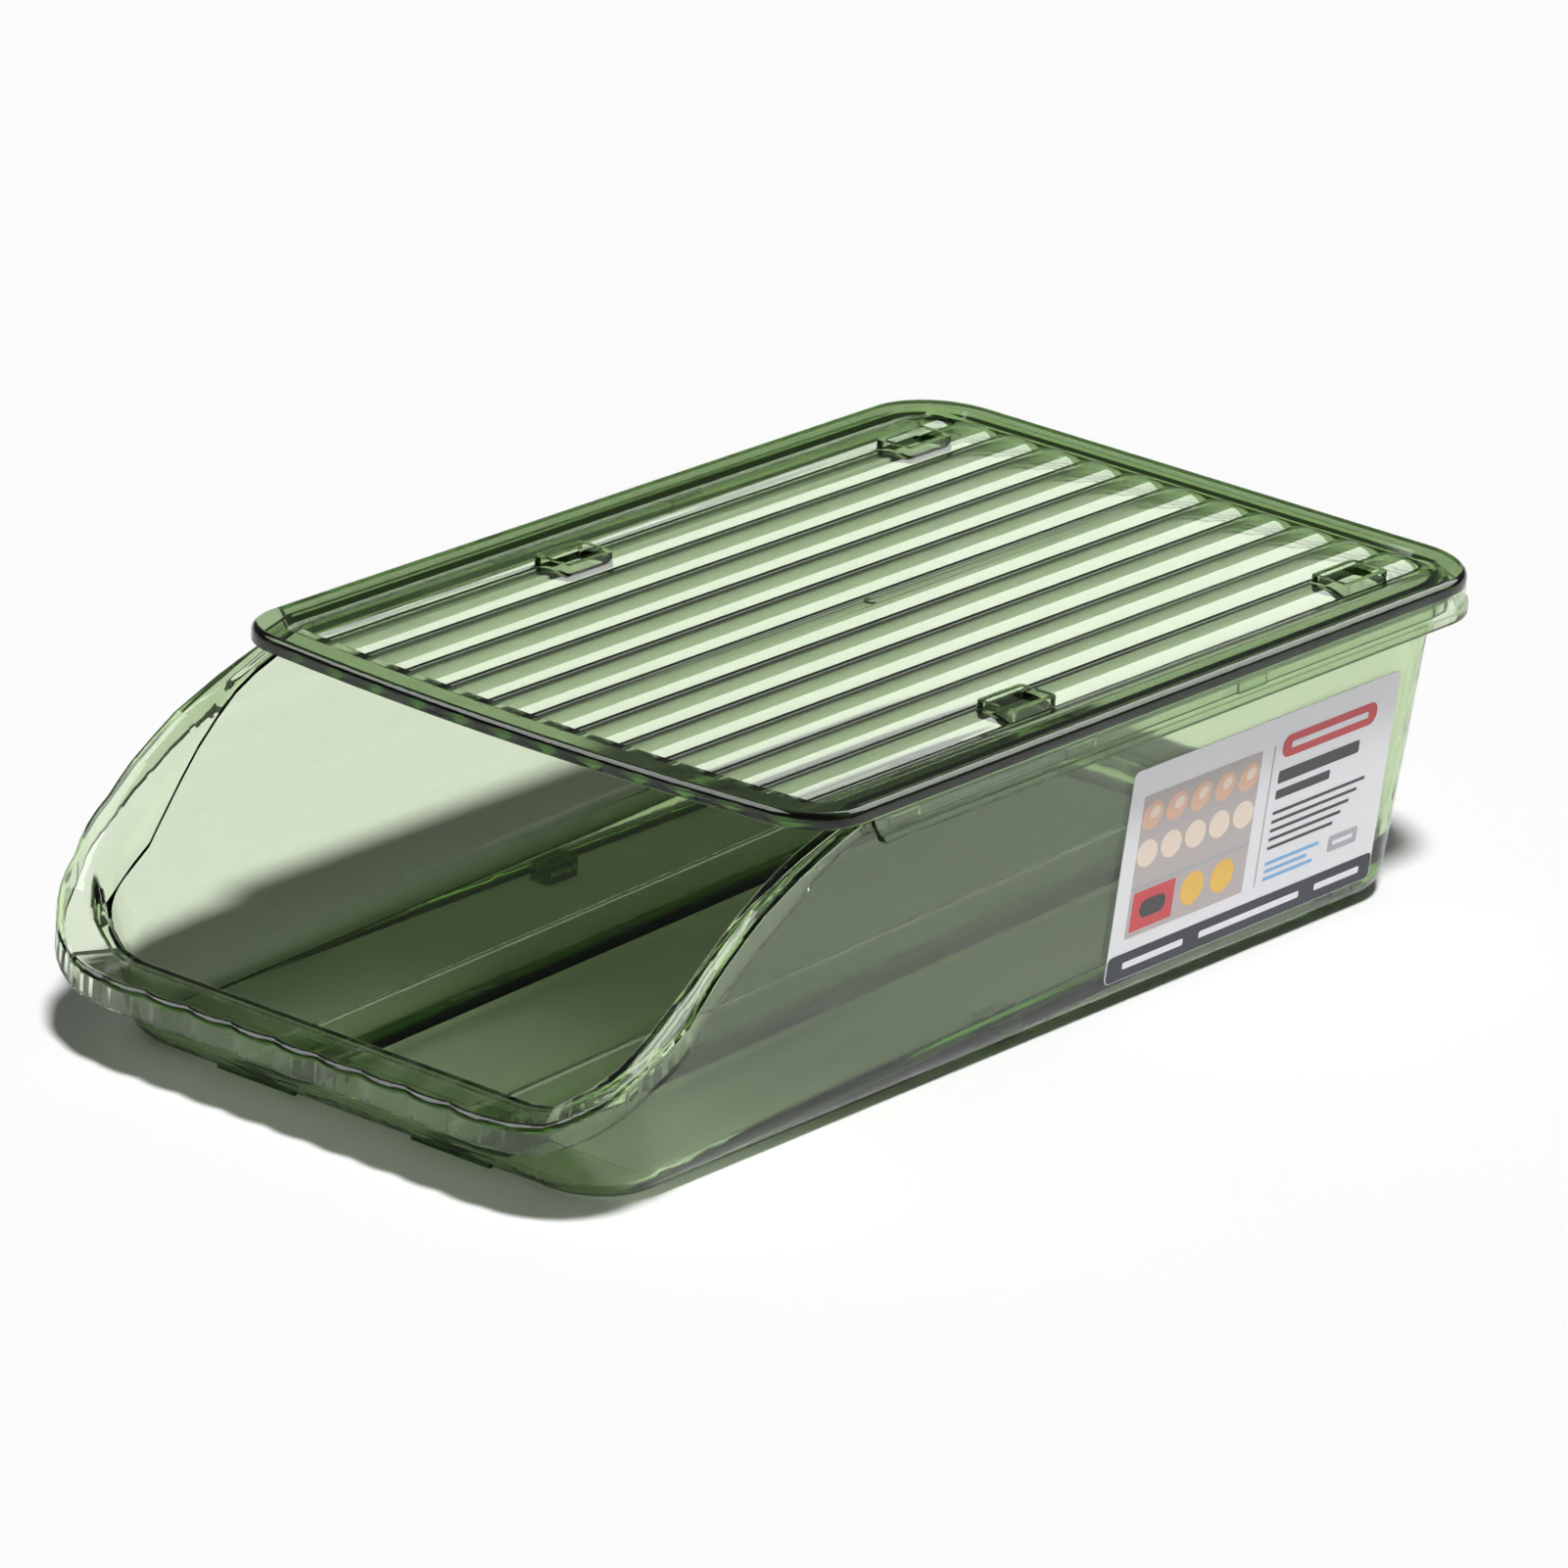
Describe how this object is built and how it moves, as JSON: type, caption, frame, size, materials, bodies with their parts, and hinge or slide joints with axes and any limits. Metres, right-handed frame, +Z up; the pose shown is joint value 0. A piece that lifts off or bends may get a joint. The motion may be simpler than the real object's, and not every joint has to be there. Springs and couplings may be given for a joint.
{
  "type": "egg storage drawer",
  "caption": "Translucent pull-out egg bin with a scooped front, a sloping lane floor, a faceted lip and a ribbed lift-off lid.",
  "frame": {"origin": "middle of the bounding box, on the surface that the drawer stands on", "axes": "+X to the drawer's right side with the label, +Y from the scooped front to the back, +Z up"},
  "size_m": [0.194, 0.37, 0.0916],
  "materials": {
    "bin_plastic": "clear tinted, glossy",
    "lid_plastic": "clear tinted, glossy",
    "label_film": "printed film"
  },
  "bodies": {
    "bin": {"bin": "bin_plastic", "label": "label_film"},
    "lid": {"lid": "lid_plastic"}
  },
  "joints": [
    {"name": "lid_lift", "type": "slide", "parent": "bin", "child": "lid", "axis": [0, 0, 1], "range_m": [0, 0.12]}
  ]
}
